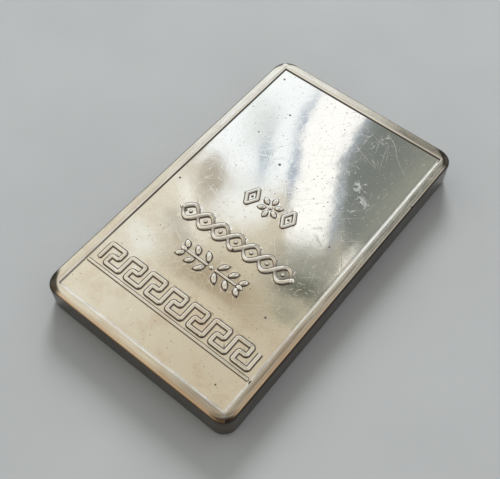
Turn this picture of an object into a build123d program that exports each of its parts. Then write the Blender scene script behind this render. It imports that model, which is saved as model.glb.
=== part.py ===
from build123d import *
from math import cos, radians, sin, sqrt, tan
import os

# Sizes of the bar, in millimetres
# It lies flat: short side along X, long side along Y, struck face up.
bar_width = 27.0
bar_length = 44.8
bar_thickness = 4.24        # from the flat underside to the top of the rim
side_corner_radius = 1.8    # upright corners of the side wall, seen from above

# Rounded edge between the side wall and each face
# It is narrow along the straight sides and opens out round the corners.
edge_height = 0.5           # how far down the side wall it starts
edge_width = 0.3            # how far in it reaches on a straight side
edge_steps = 6              # steps between the outlines that it passes through

# Raised rim and the sunk field inside it
rim_width = 1.32            # from the side wall to the middle of the step
rim_corner_width = 0.08     # flat top of the rim that is left at a corner
field_depth = 0.33          # from the top of the rim down to the field
step_slope = 50.0           # degrees from level, of the wall round the field
step_crest_radius = 0.15    # rounding where the wall meets the rim
step_foot_radius = 0.12     # rounding where the wall meets the field
rounding_steps = 4          # steps between the outlines of the crest and of the foot

# Places that follow from the sizes
wall_height = bar_thickness - 2 * edge_height
field_width = bar_width - 2 * rim_width         # to the middle of the step
field_length = bar_length - 2 * rim_width
field_height = bar_thickness - field_depth
step_run = field_depth / tan(radians(step_slope))
crest_reach = step_run / 2 + step_crest_radius * tan(radians(step_slope) / 2)
foot_reach = step_run / 2 + step_foot_radius * tan(radians(step_slope) / 2)

# The rim's flat top is rounded at its corners just enough to pass the square
# corner of the field, rim_corner_width away from it on the diagonal.
diagonal = sqrt(2)
rim_corner_diagonal = diagonal * (rim_width - crest_reach) - rim_corner_width
rim_corner_radius = (rim_corner_diagonal - diagonal * edge_width) / (diagonal - 1)


def outline(share, height):
    """Outline of the bar, from the side wall (share 0) in to a flat face (share 1)."""
    inset = edge_width * share
    radius = side_corner_radius + (rim_corner_radius - side_corner_radius) * share
    return Pos(0, 0, height) * RectangleRounded(bar_width - 2 * inset, bar_length - 2 * inset, radius)


def rounded_edge():
    """Cap of the bar beyond the side wall, a quarter ellipse in section, standing on height 0."""
    outlines = []
    for step in range(edge_steps + 1):
        angle = radians(90 * step / edge_steps)
        outlines.append(outline(1 - cos(angle), edge_height * sin(angle)))
    return loft(outlines)


def field_outline(reach, height):
    """Square-cornered outline round the field, reach outside the middle of its step."""
    return Pos(0, 0, height) * Rectangle(field_width + 2 * reach, field_length + 2 * reach)


def field_hollow():
    """Hollow over the field, from its floor up the rounded foot, the slope and the crest."""
    foot = []
    crest = []
    for step in range(rounding_steps + 1):
        angle = radians(step_slope * step / rounding_steps)
        foot_rise = step_foot_radius * (1 - cos(angle))
        crest_drop = step_crest_radius * (1 - cos(angle))
        foot.append(field_outline(step_foot_radius * sin(angle) - foot_reach, field_height + foot_rise))
        crest.append(field_outline(crest_reach - step_crest_radius * sin(angle), bar_thickness - crest_drop))
    return loft(foot + crest[::-1])


# Side wall, with the rounded edge above it and its mirror image below
side_wall = extrude(outline(0, edge_height), wall_height)
upper_edge = Pos(0, 0, bar_thickness - edge_height) * rounded_edge()
lower_edge = Pos(0, 0, edge_height) * mirror(rounded_edge(), about=Plane.XY)
bar = side_wall + upper_edge + lower_edge

# Field pressed down inside the rim
bar -= field_hollow()

silver_bar = bar.solid()
silver_bar.label = "silver_bar"

os.makedirs("parts", exist_ok=True)
export_step(silver_bar, "parts/silver_bar.step")
print("volume", round(silver_bar.volume, 1), "cubic millimetres")
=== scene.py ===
import math
from functools import reduce
import bpy
import bmesh
from mathutils import Matrix, Vector, noise


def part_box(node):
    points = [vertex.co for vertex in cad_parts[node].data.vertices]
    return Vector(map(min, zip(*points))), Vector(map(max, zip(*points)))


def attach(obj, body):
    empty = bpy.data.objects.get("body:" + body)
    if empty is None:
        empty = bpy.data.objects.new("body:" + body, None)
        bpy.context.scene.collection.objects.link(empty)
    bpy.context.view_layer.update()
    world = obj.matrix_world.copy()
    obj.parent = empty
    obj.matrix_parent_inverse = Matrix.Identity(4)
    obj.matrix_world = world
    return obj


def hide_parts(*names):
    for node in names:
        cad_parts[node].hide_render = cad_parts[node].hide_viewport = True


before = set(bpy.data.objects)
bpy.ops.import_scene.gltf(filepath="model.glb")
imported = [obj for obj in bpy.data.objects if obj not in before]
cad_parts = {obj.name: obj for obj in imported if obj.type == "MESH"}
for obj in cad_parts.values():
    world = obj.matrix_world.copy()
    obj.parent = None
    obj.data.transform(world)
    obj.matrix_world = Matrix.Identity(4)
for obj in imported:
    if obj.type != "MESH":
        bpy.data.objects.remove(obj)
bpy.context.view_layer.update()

# Shapes are worked out in millimetres and made metres at the end.
millimetre = 0.001
nodeLow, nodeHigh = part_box("silver_bar")
barWidth = (nodeHigh.x - nodeLow.x) / millimetre
barLength = (nodeHigh.y - nodeLow.y) / millimetre
barThickness = (nodeHigh.z - nodeLow.z) / millimetre
print("bar", round(barWidth, 2), "x", round(barLength, 2), "x", round(barThickness, 2), "mm")


# Camera, at the photograph's place

cameraView = {
    "place": (31.48, -41.22, 83.16),  # mm
    "right": (0.77854, 0.62759, 0.00362),
    "up": (-0.53568, 0.66150, 0.52485),
    "lens": 57.23,  # mm
    "sensor": 36.0,  # mm
    "nearest": 0.005,  # m
    "farthest": 50.0,  # m
}


def addObject(name, data):
    made = bpy.data.objects.new(name, data)
    bpy.context.scene.collection.objects.link(made)
    return made


def makeCamera(settings):
    data = bpy.data.cameras.new("productCamera")
    data.sensor_width = settings["sensor"]
    data.lens = settings["lens"]
    data.clip_start = settings["nearest"]
    data.clip_end = settings["farthest"]
    camera = addObject("productCamera", data)
    right = Vector(settings["right"]).normalized()
    back = right.cross(Vector(settings["up"])).normalized()
    up = back.cross(right)
    turn = Matrix((right, up, back)).transposed()
    camera.matrix_world = Matrix.Translation(Vector(settings["place"]) * millimetre) @ turn.to_4x4()
    bpy.context.scene.camera = camera


makeCamera(cameraView)
print("camera placed")


# Helpers for node trees

class Channel:
    # A node's output. Formulas use it like a number, and channel["X"] is another output of its node.
    def __init__(self, socket):
        self.socket = socket
        self.tree = socket.id_data

    def __getitem__(self, name):
        return Channel(self.socket.node.outputs[name])

    def __add__(self, other):
        return mathNode("ADD", self, other)

    def __sub__(self, other):
        return mathNode("SUBTRACT", self, other)

    def __rsub__(self, other):
        return mathNode("SUBTRACT", other, self)

    def __mul__(self, other):
        return mathNode("MULTIPLY", self, other)

    def __truediv__(self, other):
        return mathNode("DIVIDE", self, other)

    def __pow__(self, other):
        return mathNode("POWER", self, other)

    def __abs__(self):
        return mathNode("ABSOLUTE", self)


def link(value, socket):
    # Links a channel to a node's input, or sets the input to a plain value
    if isinstance(value, Channel):
        value.tree.links.new(value.socket, socket)
    else:
        socket.default_value = value


def addNode(tree, kind, inputs=None, **settings):
    node = tree.nodes.new(kind)
    for name, value in settings.items():
        setattr(node, name, value)
    for name, value in (inputs or {}).items():
        link(value, node.inputs[name])
    return Channel(node.outputs[0])


def mathNode(operation, first, second=0.0):
    tree = (first if isinstance(first, Channel) else second).tree
    return addNode(tree, "ShaderNodeMath", {0: first, 1: second}, operation=operation)


def larger(first, second):
    return mathNode("MAXIMUM", first, second)


def smaller(first, second):
    return mathNode("MINIMUM", first, second)


def ramp(value, low, high, fromValue=0.0, toValue=1.0):
    # Goes smoothly from one value to the other between the limits low and high
    inputs = {"Value": value, "From Min": low, "From Max": high, "To Min": fromValue, "To Max": toValue}
    return addNode(value.tree, "ShaderNodeMapRange", inputs, interpolation_type="SMOOTHSTEP")


def mixValues(share, first, second):
    return addNode(share.tree, "ShaderNodeMix", {0: share, 2: first, 3: second}, data_type="FLOAT")


def mixColours(share, first, second):
    first, second = (end if isinstance(end, Channel) else (*end, 1.0) for end in (first, second))
    return addNode(share.tree, "ShaderNodeMix", {0: share, 6: first, 7: second}, data_type="RGBA")[2]


def vectorMath(operation, first, second=(0.0, 0.0, 0.0)):
    return addNode(first.tree, "ShaderNodeVectorMath", {0: first, 1: second}, operation=operation)


def split(vector):
    return addNode(vector.tree, "ShaderNodeSeparateXYZ", {0: vector})


def join(x, y, z=0.0):
    return addNode(x.tree, "ShaderNodeCombineXYZ", {"X": x, "Y": y, "Z": z})


def splitTurned(point, angle):
    turned = addNode(point.tree, "ShaderNodeVectorRotate", {"Vector": point, "Angle": angle},
                     rotation_type="Z_AXIS")
    return split(turned)


def noiseAt(point, scale, detail=2.0, roughness=0.5, distortion=0.0):
    return addNode(point.tree, "ShaderNodeTexNoise", {
        "Vector": point, "Scale": scale, "Detail": detail, "Roughness": roughness,
        "Distortion": distortion})


def makeGroup(name, inputs):
    # Gives a node group, its inputs and the socket of its output, which is a shape if one goes
    # in, and else a mask. An input is given as its default number or as the kind of its socket.
    isShape = "Geometry" in inputs
    tree = bpy.data.node_groups.new(name, "GeometryNodeTree" if isShape else "ShaderNodeTree")
    for inputName, value in inputs.items():
        kind = value if isinstance(value, str) else type(value).__name__.title()
        socket = tree.interface.new_socket(inputName, in_out="INPUT", socket_type="NodeSocket" + kind)
        if not isinstance(value, str):
            socket.default_value = value
    outputName, kind = ("Geometry", "Geometry") if isShape else ("Mask", "Float")
    tree.interface.new_socket(outputName, in_out="OUTPUT", socket_type="NodeSocket" + kind)
    given = Channel(tree.nodes.new("NodeGroupInput").outputs[0])
    return tree, given, tree.nodes.new("NodeGroupOutput").inputs[0]


def placeGroup(tree, group, inputs):
    return addNode(tree, "ShaderNodeGroup", inputs, node_tree=group)


def screenColour(*parts):
    # A colour as a screen shows it, 0 to 255, as the light that it stands for
    shares = [part / 255 for part in parts]
    return tuple(share / 12.92 if share <= 0.04045 else ((share + 0.055) / 1.055) ** 2.4
                 for share in shares)


# Helpers for shapes

def curveData(name, paths, closed):
    data = bpy.data.curves.new(name, "CURVE")
    data.dimensions = "3D"
    for path in paths:
        spline = data.splines.new("POLY")
        spline.points.add(len(path) - 1)
        for point, place in zip(spline.points, path):
            point.co = (*place, 1.0)
        spline.use_cyclic_u = closed
    return data


def meshData(name, mesh):
    data = bpy.data.meshes.new(name)
    mesh.to_mesh(data)
    mesh.free()
    return data


def bridge(mesh, lower, upper, closed=True):
    # Four-sided faces between two rows of points
    count = len(lower)
    for index in range(count if closed else count - 1):
        following = (index + 1) % count
        mesh.faces.new((lower[index], lower[following], upper[following], upper[index]))


def shownMesh(source):
    # The mesh that an object's modifiers give
    graph = bpy.context.evaluated_depsgraph_get()
    return bpy.data.meshes.new_from_object(source.evaluated_get(graph), depsgraph=graph).copy()


# Body of the bar

bodyShape = {
    "cornerRadius": 1.8,
    "edgeHeight": 0.5,
    "edgeWidth": 0.3,
    "edgeSteps": 6,
    "rimWidth": 1.32,
    "rimCornerRadius": 2.578,
    "fieldDepth": 0.33,
    "stepSlope": 50.0,  # degrees
    "crestRadius": 0.15,
    "footRadius": 0.12,
    "roundingSteps": 4,
    "cornerSteps": 12,
    "cornerReach": 2.0,
    "cellsAcross": 20,
    "cellsAlong": 38,
    "wallHeights": (1.2, 2.1, 3.0),
    "wallWave": 0.035,  # how far the side walls fall in, at most
    "wavesAcross": 0.11,  # per mm
    "wavesAlong": 0.09,
    "waveSeed": 3.0,
    "waveStart": 1.5,  # height at which the waves are full
}
fieldHeight = barThickness - bodyShape["fieldDepth"]
halfStep = bodyShape["fieldDepth"] / math.tan(math.radians(bodyShape["stepSlope"])) / 2
halfTangent = math.tan(math.radians(bodyShape["stepSlope"]) / 2)
crestReach = halfStep + bodyShape["crestRadius"] * halfTangent
footReach = halfStep + bodyShape["footRadius"] * halfTangent
fieldHalfWidth = barWidth / 2 - bodyShape["rimWidth"] - footReach
fieldHalfLength = barLength / 2 - bodyShape["rimWidth"] - footReach


def cornerOffsets(shape, radius):
    # How far in from a corner its points lie; without a radius the corner is square
    offsets = []
    steps = shape["cornerSteps"]
    for step in range(steps + 1):
        if radius is None:
            part = 2 * step / steps - 1
            reach = shape["cornerReach"] * abs(part)
            offsets.append((0.0, reach) if part < 0 else (reach, 0.0))
        else:
            angle = math.pi / 2 * step / steps
            offsets.append((radius * (1 - math.cos(angle)), radius * (1 - math.sin(angle))))
    return offsets


def ringPoints(shape, halfWidth, halfLength, height, radius=None):
    # One outline of the bar, anticlockwise from its right side
    offsets = cornerOffsets(shape, radius)
    points = []
    corners = []
    for signX, signY in ((1, 1), (-1, 1), (-1, -1), (1, -1)):
        corner = [Vector((signX * (halfWidth - x), signY * (halfLength - y), height)) for x, y in offsets]
        corners.append(corner if signX == signY else corner[::-1])
    cells = (shape["cellsAcross"], shape["cellsAlong"])
    for index, corner in enumerate(corners):
        points += corner
        following = corners[(index + 1) % 4][0]
        count = cells[index % 2]
        points += [corner[-1].lerp(following, step / count) for step in range(1, count)]
    return points


def wallInset(shape, point):
    # Shallow waves of the side walls, only ever inward
    place = Vector((point.x * shape["wavesAcross"], point.y * shape["wavesAlong"], shape["waveSeed"]))
    return shape["wallWave"] * (0.5 + 0.5 * noise.noise(place))


def bodyRings(shape):
    rings = []
    halfWidth, halfLength = barWidth / 2, barLength / 2
    steps = shape["edgeSteps"]

    def edgeRing(share, height):
        inset = shape["edgeWidth"] * share
        radius = shape["cornerRadius"] + (shape["rimCornerRadius"] - shape["cornerRadius"]) * share
        ring = ringPoints(shape, halfWidth - inset, halfLength - inset, height, radius)
        for point in ring:
            moved = wallInset(shape, point) * (1 - share) * min(1.0, height / shape["waveStart"])
            if abs(point.x) > halfWidth - shape["cornerReach"]:
                point.x -= math.copysign(moved, point.x)
            if abs(point.y) > halfLength - shape["cornerReach"]:
                point.y -= math.copysign(moved, point.y)
        return ring

    angles = [math.pi / 2 * step / steps for step in range(steps + 1)]
    edge = shape["edgeHeight"]
    for angle in reversed(angles):
        rings.append(edgeRing(1 - math.cos(angle), edge - edge * math.sin(angle)))
    for height in shape["wallHeights"]:
        rings.append(edgeRing(0.0, height))
    for angle in angles:
        rings.append(edgeRing(1 - math.cos(angle), barThickness - edge + edge * math.sin(angle)))
    # crest and foot of the step down to the field
    stepWidth, stepLength = halfWidth - shape["rimWidth"], halfLength - shape["rimWidth"]
    crest, foot = shape["crestRadius"], shape["footRadius"]
    turns = [math.radians(shape["stepSlope"]) * step / shape["roundingSteps"]
             for step in range(shape["roundingSteps"] + 1)]
    levels = [(crestReach - crest * math.sin(turn), barThickness - crest * (1 - math.cos(turn)))
              for turn in turns]
    levels += [(foot * math.sin(turn) - footReach, fieldHeight + foot * (1 - math.cos(turn)))
               for turn in reversed(turns)]
    for reach, height in levels:
        rings.append(ringPoints(shape, stepWidth + reach, stepLength + reach, height))
    return rings


def buildBody(shape):
    mesh = bmesh.new()
    rings = [[mesh.verts.new(point) for point in ring] for ring in bodyRings(shape)]
    for lower, upper in zip(rings, rings[1:]):
        bridge(mesh, lower, upper)
    mesh.faces.new(rings[0][::-1])
    # the field, as a grid whose border points are those of the last ring
    border = {(round(vert.co.x, 4), round(vert.co.y, 4)): vert for vert in rings[-1]}
    columns = sorted({x for x, y in border if abs(abs(y) - fieldHalfLength) < 0.001})
    rows = sorted({y for x, y in border if abs(abs(x) - fieldHalfWidth) < 0.001})
    grid = [[border.get((x, y)) or mesh.verts.new((x, y, fieldHeight)) for x in columns] for y in rows]
    for lower, upper in zip(grid, grid[1:]):
        bridge(mesh, lower, upper, closed=False)
    bmesh.ops.recalc_face_normals(mesh, faces=mesh.faces)
    return meshData("barBody", mesh)


barBody = addObject("barBody", buildBody(bodyShape))
print("body", len(barBody.data.vertices), "points")


# Raised ornament in the field: strokes pressed along paths, and beads

strokeShape = {
    # half of a stroke's section: distance from its middle, height over the field
    "section": ((0.43, -0.05), (0.428, -0.01), (0.41, 0.005), (0.36, 0.011), (0.31, 0.027),
                (0.27, 0.063), (0.238, 0.13), (0.208, 0.178), (0.168, 0.205), (0.11, 0.217)),
    "crown": 0.22,
    "corner": 0.2,
    "cornerPoints": 6,
    "ends": 0.22,
    "thinnest": 0.1,
    "spacing": 0.075,
    "swell": 0.75,
    "mergeDistance": 0.0005,
    "shortestEdge": 0.0004,
}
beadShape = {
    "flatness": 0.7,
    "segments": 24,
    "rings": 14,
}


def makeSection(shape):
    # Height points down here, because Curve to Mesh turns it over
    half = list(shape["section"])
    outline = half + [(0.0, shape["crown"])] + [(-x, height) for x, height in reversed(half)]
    path = [(x, -height, 0.0) for x, height in outline]
    return addObject("strokeSection", curveData("strokeSection", [path], True))


def finishShape(shape, given, result):
    whole = addNode(given.tree, "GeometryNodeRealizeInstances", {"Geometry": shape})
    link(addNode(given.tree, "GeometryNodeSetMaterial", {
        "Geometry": whole, "Material": given["Material"]}), result)


def makeStrokeTree(shape):
    # Sweeps the section along each path. Round Ends is the length over which an end closes;
    # Leaf gives strokes that swell in the middle instead.
    tree, given, result = makeGroup("raisedStroke", {
        "Geometry": "Geometry", "Section": "Object", "Width": 1.0, "Corner Radius": shape["corner"],
        "Point Spacing": shape["spacing"], "Round Ends": shape["ends"], "Leaf": 0.0,
        "Material": "Material"})
    fillet = addNode(tree, "GeometryNodeFilletCurve", {
        "Curve": given["Geometry"], "Radius": given["Corner Radius"],
        "Count": shape["cornerPoints"], "Limit Radius": True}, mode="POLY")
    resample = addNode(tree, "GeometryNodeResampleCurve", {
        "Curve": fillet, "Length": given["Point Spacing"]}, mode="LENGTH")
    upright = addNode(tree, "GeometryNodeSetCurveNormal", {"Curve": resample}, mode="Z_UP")
    place = addNode(tree, "GeometryNodeSplineParameter")
    toEnd = addNode(tree, "GeometryNodeSplineLength")["Length"] - place["Length"]
    share = smaller(place["Length"], toEnd) / larger(given["Round Ends"], 0.001)
    rest = 1.0 - smaller(share, 1.0)
    closing = mathNode("SQRT", 1.0 - rest * rest)
    swell = larger(mathNode("SINE", place["Factor"] * math.pi), 0.0) ** shape["swell"]
    noEnds = mathNode("LESS_THAN", given["Round Ends"], 0.001)
    taper = larger(larger(mixValues(given["Leaf"], closing, swell), noEnds), shape["thinnest"])
    section = addNode(tree, "GeometryNodeObjectInfo", {"Object": given["Section"]})["Geometry"]
    finishShape(addNode(tree, "GeometryNodeCurveToMesh", {
        "Curve": upright, "Profile Curve": section, "Scale": taper * given["Width"],
        "Fill Caps": True}), given, result)
    return tree


def makeBeadTree(shape):
    # Sets a flattened bead on each point; the point's "size" is its radius
    tree, given, result = makeGroup("raisedBeads", {
        "Geometry": "Geometry", "Flatness": shape["flatness"], "Segments": shape["segments"],
        "Material": "Material"})
    ball = addNode(tree, "GeometryNodeMeshUVSphere", {
        "Segments": given["Segments"], "Rings": shape["rings"], "Radius": 1.0})
    size = addNode(tree, "GeometryNodeInputNamedAttribute", {"Name": "size"}, data_type="FLOAT")
    finishShape(addNode(tree, "GeometryNodeInstanceOnPoints", {
        "Points": given["Geometry"], "Instance": ball,
        "Scale": join(size, size, size * given["Flatness"])}), given, result)
    return tree


strokeSection = makeSection(strokeShape)
strokeTree = makeStrokeTree(strokeShape)
beadTree = makeBeadTree(beadShape)
silver = bpy.data.materials.new("struckSilver")


def growTree(name, source, tree, values):
    # Runs a tree on an object's data and gives back a closed mesh with its faces outward
    holder = addObject(name, source)
    modifier = holder.modifiers.new(tree.name, "NODES")
    modifier.node_group = tree
    for item in tree.interface.items_tree:
        if item.in_out == "INPUT" and item.name in values:
            modifier[item.identifier] = values[item.name]
    data = shownMesh(holder)
    bpy.data.objects.remove(holder)
    mesh = bmesh.new()
    mesh.from_mesh(data)
    bmesh.ops.remove_doubles(mesh, verts=mesh.verts, dist=strokeShape["mergeDistance"])
    bmesh.ops.dissolve_degenerate(mesh, edges=mesh.edges, dist=strokeShape["shortestEdge"])
    bmesh.ops.recalc_face_normals(mesh, faces=mesh.faces)
    mesh.to_mesh(data)
    mesh.free()
    return data


def growStrokes(name, paths, width, corner=strokeShape["corner"], ends=strokeShape["ends"], leaf=0.0,
                closed=False, spacing=strokeShape["spacing"]):
    # A path's points have an x, a y and, where they lie over the field, a lift.
    placed = [[(x, y, fieldHeight + sum(lift)) for x, y, *lift in path] for path in paths]
    return growTree(name, curveData(name, placed, closed), strokeTree, {
        "Section": strokeSection, "Width": width, "Corner Radius": corner, "Point Spacing": spacing,
        "Round Ends": 0.0 if closed else ends, "Leaf": leaf, "Material": silver})


def growBeads(name, beads):
    data = bpy.data.meshes.new(name)
    data.from_pydata([(x, y, fieldHeight) for x, y, size in beads], [], [])
    sizes = data.attributes.new("size", "FLOAT", "POINT")
    for item, bead in zip(sizes.data, beads):
        item.value = bead[2]
    return growTree(name, data, beadTree, {"Flatness": beadShape["flatness"], "Material": silver})


# In each piece, rowReach is how far from its row a point still belongs to it.
ornament = {
    "rosette": {"centre": (0.15, 1.98), "petals": 6, "inner": 0.42, "outer": 1.68, "width": 1.05,
                "bead": 0.30, "rowReach": 1.8},
    "lozenges": {"offset": 2.75, "halfWidth": 0.78, "halfHeight": 1.35, "width": 0.78, "corner": 0.1,
                 "bead": 0.18},
    "braid": {"centre": -4.37, "halfWidth": 8.1, "halfHeight": 1.04, "waves": 3.5, "width": 0.92,
              "lift": 0.06, "bead": 0.27, "endBead": 0.36, "endGap": 0.12},
    "sprigs": {"centre": (0.0, -8.75), "halfWidth": 4.6, "stemStart": 0.45, "stem": 0.6,
               "leaves": 3, "firstLeaf": 0.62, "leafSpan": 3.1, "leafLength": 1.8, "shrink": 0.1,
               "lean": 52, "straighten": 3, "bow": 0.09, "tipLeaf": 0.95, "width": 1.1,
               "corner": 0.5, "bead": 0.3, "rowReach": 0.16},
    "meander": {"base": -15.90, "left": -11.02, "units": 7, "column": 1.05, "row": 1.2, "width": 0.90},
    "line": {"height": -16.72, "halfLength": 11.93, "width": 0.66, "ends": 0.14, "spacing": 0.1,
             "rowReach": 0.3},
    "leafSpacing": 0.06,
}
rosette, lozenges, braid, sprigs, meander, line, leafSpacing = ornament.values()


def rosettePaths(shape):
    paths = []
    for index in range(shape["petals"]):
        angle = 2 * math.pi * (index + 0.5) / shape["petals"]
        side = Vector((math.cos(angle), math.sin(angle)))
        centre = Vector(shape["centre"])
        paths.append([centre + side * shape["inner"], centre + side * shape["outer"]])
    return paths


def lozengePaths(shape, centre):
    paths = []
    for side in (-1, 1):
        x = centre[0] + side * shape["offset"]
        paths.append([(x - shape["halfWidth"], centre[1]), (x, centre[1] - shape["halfHeight"]),
                      (x + shape["halfWidth"], centre[1]), (x, centre[1] + shape["halfHeight"])])
    return paths


def braidPath(shape, side):
    # One of two strands that wind round each other, over and under in turn
    path = []
    count = round(40 * shape["waves"])
    for step in range(count + 1):
        x = shape["halfWidth"] * (2 * step / count - 1)
        phase = 2 * math.pi * shape["waves"] * step / count
        y = shape["centre"] + side * shape["halfHeight"] * math.sin(phase)
        path.append((x, y, side * shape["lift"] * math.cos(phase)))
    return path


def braidBeads(shape):
    eyes = round(2 * shape["waves"])
    span = 2 * shape["halfWidth"] / eyes
    return [(-shape["halfWidth"] + span * (index + 0.5), shape["centre"], shape["bead"])
            for index in range(eyes)]


def sprigPaths(shape):
    # Two sprigs that grow outward from the middle, with paired leaves
    stems = []
    leaves = []
    centreX, centreY = shape["centre"]
    for side in (-1, 1):
        stems.append([(centreX + side * shape["stemStart"], centreY),
                      (centreX + side * (shape["halfWidth"] - 2 * shape["stemStart"]), centreY)])
        for index in range(shape["leaves"]):
            along = shape["firstLeaf"] + index * shape["leafSpan"] / (shape["leaves"] - 1)
            root = centreX + side * along
            reach = shape["leafLength"] * (1.0 - shape["shrink"] * index)
            lean = math.radians(shape["lean"] - shape["straighten"] * index)
            for upDown in (-1, 1):
                start = Vector((root, centreY + upDown * shape["rowReach"]))
                tip = start + Vector((side * math.cos(lean), upDown * math.sin(lean))) * reach
                across = Vector((-side * math.sin(lean), upDown * math.cos(lean)))
                leaves.append([start, (start + tip) / 2 + across * shape["bow"], tip])
        end = centreX + side * (shape["halfWidth"] - shape["tipLeaf"])
        leaves.append([(end, centreY), (end + side * shape["tipLeaf"], centreY)])
    return stems, leaves


def meanderPath(shape):
    # Square key pattern, each unit a turn in and out again
    unit = ((0, 0), (0, 2), (2, 2), (2, 1), (1, 1), (1, 0))
    path = []
    for index in range(shape["units"]):
        for column, row in unit:
            path.append((shape["left"] + (3 * index + column) * shape["column"],
                         shape["base"] + row * shape["row"]))
    end = shape["left"] + 3 * shape["units"] * shape["column"]
    path += [(end, shape["base"]), (end, shape["base"] + 2 * shape["row"])]
    return path


stemPaths, leafPaths = sprigPaths(sprigs)
lineEnds = [(side * line["halfLength"], line["height"]) for side in (-1, 1)]
beadPlaces = braidBeads(braid)
beadPlaces += [(*piece["centre"], piece["bead"]) for piece in (rosette, sprigs)]
for side in (-1, 1):
    beadPlaces.append((rosette["centre"][0] + side * lozenges["offset"], rosette["centre"][1],
                       lozenges["bead"]))
    beadPlaces.append((side * (braid["halfWidth"] + braid["endGap"]), braid["centre"], braid["endBead"]))
reliefMeshes = [
    growStrokes("braidFirst", [braidPath(braid, 1)], braid["width"]),
    growStrokes("braidSecond", [braidPath(braid, -1)], braid["width"]),
    growStrokes("meander", [meanderPath(meander)], meander["width"]),
    growStrokes("line", [lineEnds], line["width"], ends=line["ends"], spacing=line["spacing"]),
    growStrokes("petals", rosettePaths(rosette), rosette["width"], leaf=1.0, spacing=leafSpacing),
    growStrokes("lozenges", lozengePaths(lozenges, rosette["centre"]), lozenges["width"],
                corner=lozenges["corner"], closed=True),
    growStrokes("stems", stemPaths, sprigs["stem"]),
    growStrokes("leaves", leafPaths, sprigs["width"], corner=sprigs["corner"], leaf=1.0,
                spacing=leafSpacing),
    growBeads("beads", beadPlaces),
]
print("relief", len(reliefMeshes), "groups")


# Marks of use, cut out of the body

marks = {
    # x, y, z, then the half sizes of what is taken out, in mm
    "rimNick": (13.42, 12.6, 4.16, 0.16, 0.22, 0.16),
    "stepNick": (-12.02, -1.1, 4.2, 0.12, 0.2, 0.1),
    "fieldPit": (-1.3, 8.3, 3.93, 0.12, 0.1, 0.07),
    "edgeDentLeft": (-13.55, -6.3, 4.22, 0.16, 0.6, 0.1),
    "edgeDentFront": (4.2, -22.42, 4.24, 0.7, 0.16, 0.09),
    "lowerPit": (-3.6, -18.4, 3.93, 0.18, 0.09, 0.05),
}


def markMesh(marks):
    mesh = bmesh.new()
    for x, y, z, sizeX, sizeY, sizeZ in marks.values():
        place = Matrix.Translation((x, y, z)) @ Matrix.Diagonal((sizeX, sizeY, sizeZ, 1.0))
        bmesh.ops.create_icosphere(mesh, subdivisions=3, radius=1.0, matrix=place)
    return meshData("marks", mesh)


# The finished bar: body and relief made one, then set in the gentle waves of a struck surface

surfaceShape = {
    "waveHeight": 0.008,  # mm
    "waveLength": 11.0,  # mm
    "waveGain": 1.6,  # brings the noise to about -1 to 1
    "wavePlace": (4.1, 7.3, 0.4),
    "rippleShare": 0.25,
    "rippleScale": 2.3,
    "fade": 1.6,  # mm inside the step over which the waves begin
    "depth": 0.6,  # mm under the field; lower points stay
    "slopeGap": 0.02,  # mm, over which a slope is taken
    "mergeDistance": 0.00002,  # mm
    "sharpAngle": 46.0,  # degrees
}


def uniteMeshes(body, additions, cuts):
    helpers = []
    for data, operation in [(data, "UNION") for data in additions] + [(cuts, "DIFFERENCE")]:
        helper = addObject(data.name, data)
        modifier = body.modifiers.new(data.name, "BOOLEAN")
        modifier.solver = "MANIFOLD"
        modifier.operation = operation
        modifier.object = helper
        helpers.append(helper)
    data = shownMesh(body)
    for helper in helpers:
        bpy.data.objects.remove(helper)
    return data


def fieldWave(shape, x, y):
    inside = min(fieldHalfWidth - abs(x), fieldHalfLength - abs(y))
    share = min(1.0, max(0.0, inside / shape["fade"]))
    share = share * share * (3 - 2 * share)
    place = Vector((x / shape["waveLength"], y / shape["waveLength"], 0.0))
    ripple = shape["rippleShare"] * noise.noise(place * shape["rippleScale"])
    wave = noise.noise(place + Vector(shape["wavePlace"])) + ripple
    return shape["waveHeight"] * share * wave * shape["waveGain"]


reliefRows = (
    (line["height"], line["rowReach"], line["width"]),
    (sprigs["centre"][1], sprigs["rowReach"], sprigs["stem"]),
    (rosette["centre"][1], rosette["rowReach"], lozenges["width"]),
)


def reliefShare(x, y, z):
    # Height over the field as a share of the height that a stroke has there, 0 outside the field
    if abs(x) > fieldHalfWidth + 0.01 or abs(y) > fieldHalfLength + 0.01:
        return 0.0
    widths = [width for row, reach, width in reliefRows if abs(y - row) < reach] + [meander["width"]]
    return (z - fieldHeight) / (strokeShape["crown"] * widths[0])


def settleSurface(data, shape):
    # Normals are weighted first, then turned by the same waves that lift the points
    heights = data.attributes.new("relief", "FLOAT", "POINT")
    for item, vertex in zip(heights.data, data.vertices):
        item.value = reliefShare(*vertex.co)
    normals = [Vector(item.vector) for item in data.corner_normals]
    gap = shape["slopeGap"]
    slopes = []
    for vertex in data.vertices:
        x, y, z = vertex.co
        if z < fieldHeight - shape["depth"]:
            slopes.append(None)
            continue
        here = fieldWave(shape, x, y)
        slopeX = (fieldWave(shape, x + gap, y) - here) / gap
        slopeY = (fieldWave(shape, x, y + gap) - here) / gap
        slopes.append((slopeX, slopeY))
        vertex.co.z = z + here
    turned = []
    for loop, normal in zip(data.loops, normals):
        slope = slopes[loop.vertex_index]
        if slope:
            normal = Vector((normal.x - slope[0] * normal.z, normal.y - slope[1] * normal.z, normal.z))
        turned.append(normal.normalized())
    data.transform(Matrix.Scale(millimetre, 4))
    data.normals_split_custom_set(turned)


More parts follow.
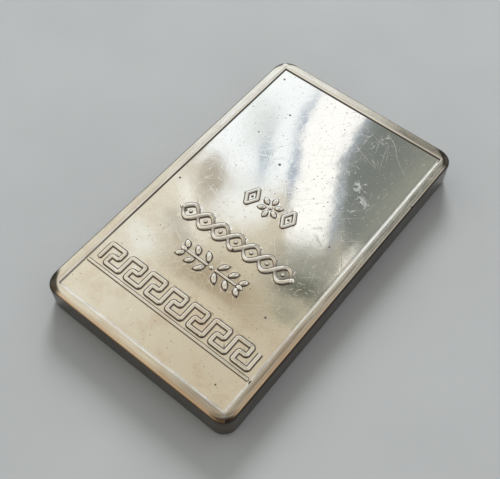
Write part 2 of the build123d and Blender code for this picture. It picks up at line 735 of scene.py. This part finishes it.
def buildBar(shape):
    united = uniteMeshes(barBody, reliefMeshes, markMesh(marks))
    bpy.data.objects.remove(barBody)
    bpy.data.objects.remove(strokeSection)
    mesh = bmesh.new()
    mesh.from_mesh(united)
    bmesh.ops.remove_doubles(mesh, verts=mesh.verts, dist=shape["mergeDistance"])
    bmesh.ops.triangulate(mesh, faces=[face for face in mesh.faces if len(face.verts) > 4],
                          ngon_method="EAR_CLIP")
    openEdges = sum(1 for edge in mesh.edges if not edge.is_manifold)
    mesh.to_mesh(united)
    mesh.free()
    united.polygons.foreach_set("use_smooth", [True] * len(united.polygons))
    united.set_sharp_from_angle(angle=math.radians(shape["sharpAngle"]))
    shown = addObject("silverBarShell", united)
    weighted = shown.modifiers.new("weights", "WEIGHTED_NORMAL")
    weighted.keep_sharp = True
    data = shownMesh(shown)
    bpy.data.objects.remove(shown)
    settleSurface(data, shape)
    data.materials.clear()
    data.materials.append(silver)
    triangles = sum(len(face.vertices) - 2 for face in data.polygons)
    print("bar mesh", len(data.vertices), "points,", triangles, "triangles,", openEdges, "open edges")
    return addObject("silverBarShell", data)


silverBar = buildBar(surfaceShape)


# Silver: pale bright metal, a little tarnished, scratched and pitted, with shade painted on its edges,
# walls, corners and creases

silverFinish = {
    "colour": (0.95, 0.94, 0.905),
    "warmTarnish": (0.88, 0.81, 0.68),
    "stain": (0.73, 0.57, 0.47),
    "shade": (0.13, 0.10, 0.075),
    "edgeTarnish": (0.40, 0.32, 0.24),
    "edgeShade": (0.20, 0.175, 0.125),
    "orangeTarnish": (0.62, 0.38, 0.19),
    # the next colour is dark tarnish with painted shade on the front and right walls, and also colours the
    # pits
    "darkTarnishAndShade": (0.098, 0.074, 0.054),
    "cleanWall": (0.56, 0.52, 0.455),
    # the next colour is painted shade with some tarnish, for the sides of the relief and the foot of the
    # step
    "creaseShadeAndTarnish": (0.080, 0.043, 0.024),
    # the next colour is painted shade on edges, corners, the right wall and the step's foot, and also
    # colours the small dark spots
    "sootAndShade": (0.034, 0.028, 0.023),
    "fleck": (0.74, 0.86, 1.0),
    "scratchWidth": 0.045,  # mm
    "scratchStrength": 1.6,
    "tickWidth": 0.035,  # mm
    "tickStrength": 1.2,
    "fieldRoughness": 0.055,
    "rimRoughness": 0.17,
    "wallRoughness": 0.22,
    # added to the roughness
    "lineRoughness": 0.10,
    "pitRoughness": 0.3,
    "fleckRoughness": 0.19,
    # heights and depths of the bump, in mm
    "wave": 0.0045,
    "fieldGrain": 0.0004,
    "rimGrain": 0.0015,
    "scratchDepth": 0.0007,
    "pitDepth": 0.0012,
    "fleckHeight": 0.003,
    "brushing": 0.010,
}

# turn in degrees, stretch along and across, width, share of the face covered, seed
scratchLayers = (
    (24, 0.035, 0.5, 0.0045, 0.46, 1.3),
    (-42, 0.03, 0.6, 0.005, 0.46, 14.1),
    (68, 0.04, 0.7, 0.005, 0.44, 27.7),
)
# centre and radius of the circle, middle and half length of the piece, strength
longScratches = (
    ((3.83, 16.25), 4.13, (5.98, 19.35), 1.75, 1.0),
    ((16.75, 27.35), 12.98, (9.68, 16.84), 2.9, 1.0),
    ((5.60, 12.10), 7.25, (11.10, 16.60), 1.5, 0.6),
    ((0.17, 4.42), 12.72, (5.05, 16.05), 1.8, 0.3),
    ((0.77, 14.90), 6.35, (7.02, 15.40), 1.1, 0.25),
    ((1.81, 13.11), 8.17, (9.89, 12.20), 0.9, 0.7),
    ((-11.86, 12.60), 21.56, (9.50, 9.75), 0.9, 0.7),
    ((-2.51, 11.97), 8.26, (-6.40, 18.20), 3.2, 0.3),
    ((6.91, -17.98), 6.48, (4.05, -12.95), 2.6, 0.3),
    ((-11.90, 0.97), 5.71, (-8.35, 3.85), 2.6, 0.3),
)
# shift of the pattern, size of a cell, length, share of the cells that have one
tickLayers = ((0.0, 1.5, 0.5, 0.4), (40.0, 0.9, 0.3, 0.35))
# middle and reach of the places where a wet finger has been
fleckPatches = (((6.9, 11.4), 1.2), ((8.1, 9.0), 1.7), ((5.2, 19.6), 0.9), ((10.9, 18.9), 0.6))


def makeScratchGroup():
    # Thin lines where a stretched noise crosses its middle, broken up along their length
    tree, given, result = makeGroup("scratchLines", {
        "Point": "Vector", "Turn": 0.0, "Along": 0.1, "Across": 1.0, "Width": 0.01, "Cover": 0.5,
        "Seed": 0.0})
    parts = splitTurned(given["Point"], given["Turn"])
    stretched = join(parts["X"] * given["Along"], parts["Y"] * given["Across"], given["Seed"])
    lines = noiseAt(stretched, 1.0, 1.0, 0.4, 0.15)
    thin = larger(1.0 - abs(lines - 0.5) / given["Width"], 0.0)
    elsewhere = vectorMath("ADD", given["Point"], join(given["Seed"], 0.0, given["Seed"]))
    patches = noiseAt(elsewhere, 0.24, 1.0)
    limit = 1.0 - given["Cover"]
    link(thin * ramp(patches, limit - 0.03, limit + 0.03), result)
    return tree


def scatterCells(given, randomness):
    # Cells, a random value of each, and 1 in the share of them that is kept
    cells = addNode(given.tree, "ShaderNodeTexVoronoi", {
        "Vector": given["Point"], "Scale": mathNode("DIVIDE", 1.0, given["Cell"]),
        "Randomness": randomness}, feature="F1", voronoi_dimensions="2D")
    chances = addNode(given.tree, "ShaderNodeSeparateColor", {0: cells["Color"]})
    return cells, chances[1], mathNode("LESS_THAN", chances[0], given["Share"])


def makePitGroup():
    # Scattered round specks, only some of the cells have one
    tree, given, result = makeGroup("specks", {
        "Point": "Vector", "Cell": 1.0, "Size": 0.1, "Share": 0.3})
    cells, chance, kept = scatterCells(given, 1.0)
    radius = given["Size"] * (chance + 0.5)
    link(ramp(cells["Distance"], radius * 0.4, radius, 1.0, 0.0) * kept, result)
    return tree


def makeTickGroup():
    # Short straight scratches, one in some of the cells, each in a direction of its own
    tree, given, result = makeGroup("shortScratches", {
        "Point": "Vector", "Cell": 1.0, "Length": 0.4, "Width": 0.03, "Share": 0.3})
    cells, chance, kept = scatterCells(given, 0.8)
    fromMiddle = vectorMath("SUBTRACT", given["Point"], cells["Position"])
    parts = splitTurned(fromMiddle, chance * (2 * math.pi))
    along = ramp(abs(parts["X"]), given["Length"] * 0.4, given["Length"], 1.0, 0.0)
    across = ramp(abs(parts["Y"]), 0.0, given["Width"], 1.0, 0.0)
    link(along * across * kept, result)
    return tree


def makeArcGroup():
    # One long scratch: a piece of a circle, as far as its reach from its middle
    tree, given, result = makeGroup("arcScratch", {
        "Point": "Vector", "Centre": "Vector", "Radius": 5.0, "Middle": "Vector", "Reach": 2.0,
        "Width": 0.03})
    flat = vectorMath("MULTIPLY", given["Point"], (1.0, 1.0, 0.0))
    fromCentre = vectorMath("DISTANCE", flat, given["Centre"])["Value"]
    fromMiddle = vectorMath("DISTANCE", flat, given["Middle"])["Value"]
    arc = ramp(abs(fromCentre - given["Radius"]), 0.0, given["Width"], 1.0, 0.0)
    link(arc * ramp(fromMiddle, given["Reach"] * 0.8, given["Reach"], 1.0, 0.0), result)
    return tree


scratchGroup = makeScratchGroup()
pitGroup = makePitGroup()
tickGroup = makeTickGroup()
arcGroup = makeArcGroup()


def finishSilver(material, finish):
    material.use_nodes = True
    tree = material.node_tree
    tree.nodes.clear()
    point = vectorMath("MULTIPLY", addNode(tree, "ShaderNodeTexCoord")["Object"], (1 / millimetre,) * 3)
    parts = split(point)
    x, y, z = (parts[axis] for axis in "XYZ")
    insideX = fieldHalfWidth - abs(x)
    insideY = fieldHalfLength - abs(y)
    inward = smaller(insideX, insideY)
    top = ramp(z, fieldHeight - 0.35, fieldHeight - 0.1)
    field = ramp(inward, -0.3, 0.02) * top
    rim = 1.0 - field
    outside = ramp(inward, -0.9, -0.7, 1.0, 0.0)
    relief = addNode(tree, "ShaderNodeAttribute", attribute_name="relief")["Fac"]
    # painted shade with some tarnish on the sides of the raised relief
    slope = ramp(relief, 0.0, 0.02) * ramp(relief, 0.60, 0.86, 1.0, 0.0)
    cloud = noiseAt(point, 0.09, 3.0, 0.55)
    mottle = noiseAt(point, 0.55, 4.0, 0.6)
    grain = noiseAt(point, 4.0, 2.0, 0.6)

    def below(depth, full):
        # 0 down to depth under the top of the rim, 1 from full on downward
        return ramp(z, barThickness - full, barThickness - depth, 1.0, 0.0)

    def grouped(group, **inputs):
        return placeGroup(tree, group, {"Point": point, **inputs})

    # scratches, pits and spots, and dried flecks
    inField = top * ramp(inward, 0.1, 0.25)
    lineMasks = [grouped(scratchGroup, Turn=math.radians(turn), Along=along, Across=across, Width=width,
                         Cover=cover, Seed=seed)
                 for turn, along, across, width, cover, seed in scratchLayers]
    for centre, radius, middle, reach, strength in longScratches:
        arc = grouped(arcGroup, Centre=(*centre, 0.0), Radius=radius, Middle=(*middle, 0.0),
                      Reach=reach, Width=finish["scratchWidth"])
        lineMasks.append(arc * (finish["scratchStrength"] * strength))
    for shift, cell, length, share in tickLayers:
        shifted = vectorMath("ADD", point, (shift, shift, 0.0))
        ticks = grouped(tickGroup, Point=shifted, Cell=cell, Length=length, Share=share,
                        Width=finish["tickWidth"])
        lineMasks.append(ticks * inField * finish["tickStrength"])
    lines = reduce(larger, lineMasks)
    pits = grouped(pitGroup, Cell=0.8, Size=0.095, Share=0.4) * inField * ramp(cloud, 0.40, 0.56, 0.4, 1.0)
    spots = grouped(pitGroup, Cell=4.2, Size=0.045, Share=0.4) * inField
    nearFlecks = []
    for middle, reach in fleckPatches:
        away = vectorMath("DISTANCE", point, (*middle, fieldHeight))["Value"]
        nearFlecks.append(ramp(away, reach * 0.4, reach, 1.0, 0.0))
    flecks = reduce(larger, nearFlecks) * ramp(noiseAt(point, 1.7, 3.0, 0.65), 0.53, 0.62)

    # rim brushed along its length
    side = mathNode("LESS_THAN", insideX, insideY)
    brushPoint = join(x * mixValues(side, 0.35, 6.0), y * mixValues(side, 6.0, 0.35), z * 4.5)
    brushed = noiseAt(brushPoint, 0.8, 3.0, 0.65)

    # The front and right sides are stained and carry painted shade; the other two are nearly clean.
    onRight = mathNode("GREATER_THAN", x, 0.0)
    onFront = mathNode("LESS_THAN", y, 0.0)
    stainedShadedSide = mixValues(side, onFront, onRight)
    cleanSide = 1.0 - stainedShadedSide

    # face: warmer towards the struck end, with brown and rosy stains
    down = ramp(y, 8.0, -16.0)
    warmth = (down * 0.24 + 0.04) * ramp(cloud, 0.25, 0.75, 0.6, 1.3)
    stain = ramp(noiseAt(point, 0.38, 3.0, 0.6), 0.46, 0.68, 0.0, 0.30) * down
    speckle = field * ramp(noiseAt(point, 6.5, 1.0), 0.4, 0.7, 0.0, 0.055)

    # rim: streaked; painted shade makes it darker to the right and lays a dark band along the right rim;
    # orange tarnish and brown painted shade where it rounds over
    streaks = rim * ramp(brushed, 0.35, 0.75, 0.0, 0.34)
    # painted shade: the rim darker towards the right, on both ends and down the right side
    darker = mixValues(side, 0.44, ramp(y, 4.0, -14.0, 0.0, 0.38)) * (rim * ramp(x, 1.0, 9.0))
    # painted shade: a dark band along the right rim, broken by the brushing
    rimShadeBand = (rim * side * onRight * ramp(inward, -0.58, -0.70) * ramp(inward, -0.98, -0.84)
            * ramp(brushed, 0.3, 0.6, 0.10, 0.45))
    # orange tarnish and painted shade on the outer rim and over the edge of the front and right sides,
    # with dark painted shade instead of orange towards the back of the right side
    outward = rim * stainedShadedSide * ramp(inward, -0.75, -1.30, 0.0, 0.5)
    rosy = mixValues(side, 1.0, ramp(y, 4.0, -12.0, 0.12, 1.0))
    edgeTone = mixColours(rosy, finish["edgeShade"], finish["orangeTarnish"])
    nearEdgeTarnishAndShade = outside * stainedShadedSide * below(0.004, 0.13) * 0.85
    # painted shade: a dark outline on the outer rounding of the back and left sides
    farEdgeShade = outside * cleanSide * below(0.001, 0.012) * 0.88

    # walls: dark tarnish with painted shade on the front and right walls; painted shade darkest under the
    # rim on the right and round three corners
    wall = outside * below(0.06, 0.34)
    cloudy = ramp(mottle, 0.3, 0.75, 0.96, 1.0) * ramp(brushed, 0.35, 0.6, 0.97, 1.0)
    sideways = insideY - insideX
    sideShare = mixValues(onRight, ramp(sideways, -1.8, 4.5), ramp(sideways, -4.5, 1.8))
    wallToneAndShade = mixColours(mixValues(sideShare, onFront, onRight), finish["cleanWall"],
                          finish["darkTarnishAndShade"])
    underRimShade = (outside * side * onRight * below(0.03, 0.12)
             * ramp(z, barThickness - 0.75, barThickness - 0.45))
    # painted shade: dark crescents round three corners, not the back left one, weaker at the front right,
    # fading down the wall
    arcX = larger(abs(x) - (barWidth / 2 - 2.88), 0.0)
    arcY = larger(abs(y) - (barLength / 2 - 2.88), 0.0)
    arc = vectorMath("LENGTH", join(arcX, arcY))["Value"]
    spared = (1.0 - onRight) * (1.0 - onFront)
    corner = (ramp(arc, 2.22, 2.52) * (1.0 - spared) * (onRight * onFront * -0.6 + 1.0)
              * ramp(smaller(arcX, arcY), 0.0, 1.1)
              * ramp(z, barThickness - 2.2, barThickness - 0.6))

    # painted shade at the foot of the step, mottled on the front and right, and on the sides of the relief
    footEnd = ramp(inward, -0.06, 0.02, 1.0, 0.0) * top
    # painted shade: a thin dark line at the foot of the step on the back and left sides
    farFootShade = footEnd * cleanSide * ramp(inward, -0.22, -0.16) * ramp(y, -17.0, -6.0, 0.75, 0.95)
    # painted shade, mottled, at the foot of the step on the front and right sides
    nearFootShade = (footEnd * stainedShadedSide * ramp(inward, -0.26, -0.18)
                   * ramp(mottle, 0.35, 0.6, 0.05, 0.34))

    colour = finish["colour"]
    for mask, tone in (
            (warmth, "warmTarnish"), (stain, "stain"), (speckle, "shade"), (streaks, "edgeTarnish"),
            (darker, "shade"), (rimShadeBand, "shade"), (outward, edgeTone), (nearEdgeTarnishAndShade, edgeTone),
            (farEdgeShade, "sootAndShade"), (wall * cloudy, wallToneAndShade), (larger(underRimShade, corner) * 0.92, "sootAndShade"),
            (larger(slope * 0.88, nearFootShade), "creaseShadeAndTarnish"), (farFootShade, "sootAndShade"),
            (flecks * 0.5, "fleck"), (spots * 0.8, "sootAndShade"), (pits * 0.6, "darkTarnishAndShade")):
        colour = mixColours(mask, colour, finish.get(tone, tone))

    rough = mixValues(field, finish["rimRoughness"], finish["fieldRoughness"])
    rough = mixValues(wall, rough, finish["wallRoughness"]) * ramp(mottle, 0.2, 0.8, 0.75, 1.3)
    rough = (rough + lines * finish["lineRoughness"] + larger(pits, spots) * finish["pitRoughness"]
             + flecks * finish["fleckRoughness"])

    grainHeight = ramp(field, 0.0, 1.0, finish["rimGrain"], finish["fieldGrain"])
    height = (noiseAt(point, 0.5, 2.0, 0.4) * finish["wave"] + grain * grainHeight
              - lines * finish["scratchDepth"] - pits * finish["pitDepth"]
              + flecks * finish["fleckHeight"] + brushed * (rim * finish["brushing"]))
    bump = addNode(tree, "ShaderNodeBump", {"Height": height, "Strength": 1.0, "Distance": millimetre})

    shader = addNode(tree, "ShaderNodeBsdfPrincipled", {
        "Base Color": colour, "Roughness": rough, "Metallic": 1.0, "Normal": bump})
    link(shader, tree.nodes.new("ShaderNodeOutputMaterial").inputs["Surface"])


finishSilver(silver, silverFinish)
print("silver finished")


# Floor: a pale sheet that curves up a little, far out

floorShape = {
    "radius": 1.6,
    "middle": 0.02,
    "rings": 24,
    "points": 96,
    "rise": 0.10,
    "colour": (0.47, 0.505, 0.545),
    "darkest": 0.95,
    "roughness": 0.6,
    "shine": 0.25,
}


def buildFloor(shape):
    mesh = bmesh.new()
    rings = []
    count = shape["points"]
    for step in range(shape["rings"] + 1):
        share = step / shape["rings"]
        radius = shape["radius"] * share ** 1.5 + shape["middle"]
        height = shape["rise"] * max(0.0, share - 0.5) ** 2 * 4
        angles = [2 * math.pi * index / count for index in range(count)]
        rings.append([mesh.verts.new((radius * math.cos(angle), radius * math.sin(angle), height))
                      for angle in angles])
    mesh.faces.new(rings[0])
    for inner, outer in zip(rings, rings[1:]):
        bridge(mesh, outer, inner)
    bmesh.ops.recalc_face_normals(mesh, faces=mesh.faces)
    data = meshData("studioFloor", mesh)
    data.polygons.foreach_set("use_smooth", [True] * len(data.polygons))
    material = bpy.data.materials.new("paleFloor")
    material.use_nodes = True
    tree = material.node_tree
    shader = tree.nodes["Principled BSDF"]
    shader.inputs["Roughness"].default_value = shape["roughness"]
    shader.inputs["Specular IOR Level"].default_value = shape["shine"]
    cloud = noiseAt(addNode(tree, "ShaderNodeTexCoord")["Object"], 60.0, 4.0)
    darker = tuple(part * shape["darkest"] for part in shape["colour"])
    link(mixColours(ramp(cloud, 0.3, 0.7), darker, shape["colour"]), shader.inputs["Base Color"])
    data.materials.append(material)
    floor = addObject("studioFloor", data)


buildFloor(floorShape)
print("floor made")


# Light: a soft lamp for the shadow, and a studio whose panels the silver mirrors

lampSettings = {
    "azimuth": 126.0,
    "elevation": 33.0,
    "distance": 0.9,
    "size": 0.32,
    "power": 5.6,
    "colour": (1.0, 0.97, 0.93),
}

# The panels hang over the bar. A place on them is given by the place on the bar's face,
# in mm, where the camera at the photograph's place sees them mirrored.
studio = {
    "mirrorPoint": (31.48, -41.22, 79.25),
    "strength": 1.09,
    "ceilingLeft": screenColour(220, 215, 199),
    "ceilingRight": screenColour(197, 188, 168),
    "ceilingSpan": (-13.0, 9.0),
    "ceilingBeyond": screenColour(212, 209, 202),
    "beyondSpan": (15.0, 28.0),
    "farSide": screenColour(248, 252, 255),
    "wingSide": screenColour(222, 219, 211),
    "nearSide": screenColour(114, 110, 104),
    "nearHorizon": screenColour(188, 185, 178),
    "ground": screenColour(110, 106, 100),
    "cameraShade": (0.84, 0.93),  # how near the camera's own direction the room gets dim
    # direction in degrees, and how near to it a side begins and is full
    "nearAim": (-52, 0.72, 0.94),
    "farAim": (135, 0.25, 0.85),
    # heights over the horizon between which one part of the room goes over into the next
    "nearHeights": (0.26, 0.46),
    "ceilingHeights": (0.45, 0.60),
    "groundHeights": (-0.02, 0.02),
}

# Painted over the ceiling in this order: centre, half sizes, turn in degrees, softness, colour
panels = {
    "pale ceiling": ((-8.5, 14.0), (10.5, 12.0), -10, 0.12, (246, 251, 254)),
    "ceiling lobe": ((-4.0, 1.6), (3.4, 3.4), 20, 0.5, (231, 235, 235)),
    "grey wall": ((14.3, 16.3), (11.0, 15.4), 26, 0.06, (117, 122, 118)),
    "grey wall edge": ((14.2, 14.0), (4.0, 9.0), 5, 0.8, (147, 149, 138)),
    "blind top": ((2.1, 17.6), (0.65, 6.0), 13, 0.7, (150, 160, 170)),
    "blind foot": ((6.1, 7.4), (0.65, 7.6), 27.5, 0.7, (150, 160, 170)),
    "frame top": ((-5.35, 17.6), (0.5, 4.0), 13, 0.7, (158, 172, 190)),
    "frame": ((-2.1, 10.1), (0.5, 7.2), 28, 0.6, (122, 142, 166)),
    "window top": ((-1.75, 18.0), (3.35, 7.0), 13, 0.09, (255, 255, 255)),
    "window foot": ((3.0, 6.8), (2.6, 9.4), 27.5, 0.10, (255, 255, 253)),
    "curtain": ((-6.0, 8.9), (0.6, 4.6), 29, 0.8, (160, 174, 190)),
    "curtain shade": ((-8.6, 11.6), (1.6, 3.4), 20, 0.9, (215, 221, 222)),
    "shelf": ((-9.6, 0.4), (3.6, 2.6), -18, 0.7, (206, 200, 188)),
    "shelf edge": ((-7.9, 1.0), (1.5, 3.7), 34, 0.6, (174, 167, 154)),
    "low lamp": ((-2.6, -0.6), (2.6, 1.9), 20, 0.7, (240, 242, 240)),
    "side lamp": ((-7.4, -3.9), (4.5, 1.0), -35, 0.7, (241, 240, 232)),
    "fold": ((-6.6, -7.0), (2.5, 1.2), -20, 0.8, (190, 188, 179)),
    "cushion": ((-8.8, -10.6), (2.3, 2.5), 20, 0.7, (230, 232, 226)),
    "grey corner": ((9.4, -2.2), (4.6, 3.6), 20, 0.6, (150, 151, 140)),
    "dark corner": ((9.2, -4.5), (2.7, 1.4), 20, 0.7, (102, 106, 96)),
    "low corner": ((9.9, -8.0), (1.6, 1.1), 10, 0.8, (148, 150, 134)),
    "door light": ((12.0, 0.6), (0.55, 2.9), 4, 0.8, (250, 247, 238)),
    "table": ((1.6, -9.8), (6.0, 2.0), 0, 0.8, (166, 154, 132)),
    "table light": ((0.4, -13.4), (4.4, 1.5), 0, 0.8, (209, 200, 180)),
}


def makePanelGroup():
    # A soft-edged patch with rounded corners
    tree, given, result = makeGroup("softPanel", {
        "Point": "Vector", "Centre": "Vector", "Half Width": 1.0, "Half Length": 1.0, "Turn": 0.0,
        "Soft": 0.2})
    centred = vectorMath("SUBTRACT", given["Point"], given["Centre"])
    parts = splitTurned(centred, given["Turn"] * -1.0)
    shareX = abs(parts["X"]) / given["Half Width"]
    shareY = abs(parts["Y"]) / given["Half Length"]
    away = (shareX ** 3.0 + shareY ** 3.0) ** (1 / 3)
    link(ramp(away, 1.0 - given["Soft"], given["Soft"] + 1.0, 1.0, 0.0), result)
    return tree


def makeStudioLight(room, panels):
    world = bpy.data.worlds.new("studio")
    bpy.context.scene.world = world
    world.use_nodes = True
    tree = world.node_tree
    tree.nodes.clear()
    panelGroup = makePanelGroup()
    direction = vectorMath("NORMALIZE", addNode(tree, "ShaderNodeTexCoord")["Generated"])
    parts = split(direction)
    height = larger(parts["Z"], 0.02)
    mirrorX, mirrorY, reach = room["mirrorPoint"]
    across = parts["X"] / height * reach + mirrorX
    point = join(across, parts["Y"] / height * reach + mirrorY)
    colour = mixColours(ramp(across, *room["ceilingSpan"]), room["ceilingLeft"],
                        room["ceilingRight"])
    colour = mixColours(ramp(across, *room["beyondSpan"]), colour, room["ceilingBeyond"])
    for centre, half, turn, soft, tone in panels.values():
        mask = placeGroup(tree, panelGroup, {
            "Point": point, "Centre": (*centre, 0.0), "Half Width": half[0], "Half Length": half[1],
            "Turn": math.radians(turn), "Soft": soft})
        colour = mixColours(mask, colour, screenColour(*tone))
    toCamera = tuple(Vector(room["mirrorPoint"]).normalized())
    nearness = vectorMath("DOT_PRODUCT", direction, toCamera)["Value"]
    colour = mixColours(ramp(nearness, *room["cameraShade"]), colour, room["nearSide"])

    # round the horizon: bright behind the bar, dim only where the camera stands
    level = vectorMath("NORMALIZE", vectorMath("MULTIPLY", direction, (1.0, 1.0, 0.0)))

    def towards(azimuth, low, high):
        aim = (math.cos(math.radians(azimuth)), math.sin(math.radians(azimuth)), 0.0)
        return ramp(vectorMath("DOT_PRODUCT", level, aim)["Value"], low, high)

    def risen(heights):
        return ramp(parts["Z"], *heights)

    near = mixColours(risen(room["nearHeights"]), room["nearHorizon"], room["nearSide"])
    side = mixColours(towards(*room["nearAim"]), room["wingSide"], near)
    side = mixColours(towards(*room["farAim"]), side, room["farSide"])
    colour = mixColours(risen(room["ceilingHeights"]), side, colour)
    colour = mixColours(risen(room["groundHeights"]), room["ground"], colour)
    background = addNode(tree, "ShaderNodeBackground", {"Color": colour, "Strength": room["strength"]})
    link(background, tree.nodes.new("ShaderNodeOutputWorld").inputs["Surface"])


def makeLamp(settings):
    data = bpy.data.lights.new("softLamp", "AREA")
    data.shape = "DISK"
    data.size = settings["size"]
    data.energy = settings["power"]
    data.color = settings["colour"]
    lamp = addObject("softLamp", data)
    azimuth = math.radians(settings["azimuth"])
    elevation = math.radians(settings["elevation"])
    aim = Vector((math.cos(azimuth) * math.cos(elevation), math.sin(azimuth) * math.cos(elevation),
                  math.sin(elevation)))
    lamp.location = aim * settings["distance"]
    lamp.rotation_mode = "QUATERNION"
    lamp.rotation_quaternion = aim.to_track_quat("Z", "Y")
    lamp.visible_camera = False
    lamp.visible_glossy = False


makeStudioLight(studio, panels)
makeLamp(lampSettings)
bpy.context.scene.view_settings.view_transform = "Standard"
print("lights set")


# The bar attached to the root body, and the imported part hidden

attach(silverBar, "root")
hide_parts("silver_bar")
